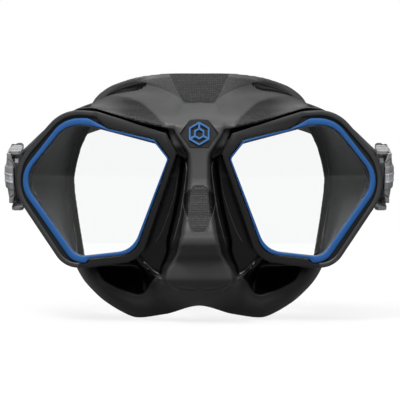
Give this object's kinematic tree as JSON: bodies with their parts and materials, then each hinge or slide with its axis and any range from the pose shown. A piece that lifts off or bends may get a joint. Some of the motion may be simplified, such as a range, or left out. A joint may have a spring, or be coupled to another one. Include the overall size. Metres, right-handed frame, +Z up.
{
  "type": "diving mask",
  "caption": "Two-lens diving mask with a black silicone face skirt, blue lens bezels, swivelling strap buckles and a rear strap.",
  "frame": {"origin": "centre of the face seal, where the skirt meets the face", "axes": "+X is the right side seen from the front, +Z is up, the lenses look along -Y and the strap runs back along +Y"},
  "size_m": [0.1826, 0.1561, 0.1223],
  "materials": {
    "skirt_silicone": "matt black silicone",
    "strap_silicone": "matt black silicone",
    "frame_plastic": "satin black",
    "bezel_blue": "satin blue",
    "emblem_blue": "satin blue",
    "buckle_dark": "satin dark grey",
    "buckle_grey": "satin grey",
    "inlay_light": "light grey, bright",
    "steel": "bright",
    "lens_glass": "clear tempered glass"
  },
  "bodies": {
    "mask": {"skirt": "skirt_silicone", "frame": "frame_plastic", "badge_plate": "frame_plastic", "badge_emblem": "emblem_blue", "bezel_right": "bezel_blue", "bezel_left": "bezel_blue", "lens_right": "lens_glass", "lens_left": "lens_glass"},
    "harness": {"strap": "strap_silicone", "swivel_pin_right": "steel", "swivel_pin_left": "steel", "buckle_base_right": "buckle_dark", "buckle_base_left": "buckle_dark", "buckle_cover_right": "buckle_grey", "buckle_cover_left": "buckle_grey", "cover_inlay_right": "inlay_light", "cover_inlay_left": "inlay_light", "pawl_spring_right": "steel", "pawl_spring_left": "steel"},
    "top_button_right": {"button_top_right": "buckle_grey"},
    "bottom_button_right": {"button_bottom_right": "buckle_grey"},
    "pawl_right": {"pawl_right": "buckle_dark"},
    "roller_right": {"strap_roller_right": "steel"},
    "top_button_left": {"button_top_left": "buckle_grey"},
    "bottom_button_left": {"button_bottom_left": "buckle_grey"},
    "pawl_left": {"pawl_left": "buckle_dark"},
    "roller_left": {"strap_roller_left": "steel"}
  },
  "joints": [
    {"name": "strap_swing", "type": "hinge", "parent": "mask", "child": "harness", "pos_m": [0, -0.013, 0.0066], "axis": [1, 0, 0], "range_deg": [-41, 19]},
    {"name": "top_button_right_press", "type": "slide", "parent": "harness", "child": "top_button_right", "axis": [0, 0.3584, -0.9336], "range_m": [0, 0.0015], "stiffness_N_per_m": 400, "springref_m": -0.001},
    {"name": "bottom_button_right_press", "type": "slide", "parent": "harness", "child": "bottom_button_right", "axis": [0, -0.3584, 0.9336], "range_m": [0, 0.0015], "stiffness_N_per_m": 400, "springref_m": -0.001},
    {"name": "pawl_right_lift", "type": "hinge", "parent": "harness", "child": "pawl_right", "pos_m": [0.08701, -0.0102, 0.00768], "axis": [0, 0.3584, -0.9336], "range_deg": [0, 6.1]},
    {"name": "roller_right_spin", "type": "hinge", "parent": "harness", "child": "roller_right", "pos_m": [0.08721, -0.0003, 0.01147], "axis": [0, -0.3584, 0.9336], "continuous": true},
    {"name": "top_button_left_press", "type": "slide", "parent": "harness", "child": "top_button_left", "axis": [0, 0.3584, -0.9336], "range_m": [0, 0.0015], "stiffness_N_per_m": 400, "springref_m": -0.001},
    {"name": "bottom_button_left_press", "type": "slide", "parent": "harness", "child": "bottom_button_left", "axis": [0, -0.3584, 0.9336], "range_m": [0, 0.0015], "stiffness_N_per_m": 400, "springref_m": -0.001},
    {"name": "pawl_left_lift", "type": "hinge", "parent": "harness", "child": "pawl_left", "pos_m": [-0.08701, -0.0102, 0.00768], "axis": [0, -0.3584, 0.9336], "range_deg": [0, 6.1]},
    {"name": "roller_left_spin", "type": "hinge", "parent": "harness", "child": "roller_left", "pos_m": [-0.08721, -0.0003, 0.01147], "axis": [0, -0.3584, 0.9336], "continuous": true}
  ],
  "couplings": [
    {"joint": "bottom_button_right_press", "follows": "top_button_right_press", "ratio": 1},
    {"joint": "pawl_right_lift", "follows": "top_button_right_press", "rad_per_m": 70},
    {"joint": "bottom_button_left_press", "follows": "top_button_left_press", "ratio": 1},
    {"joint": "pawl_left_lift", "follows": "top_button_left_press", "rad_per_m": 70}
  ]
}
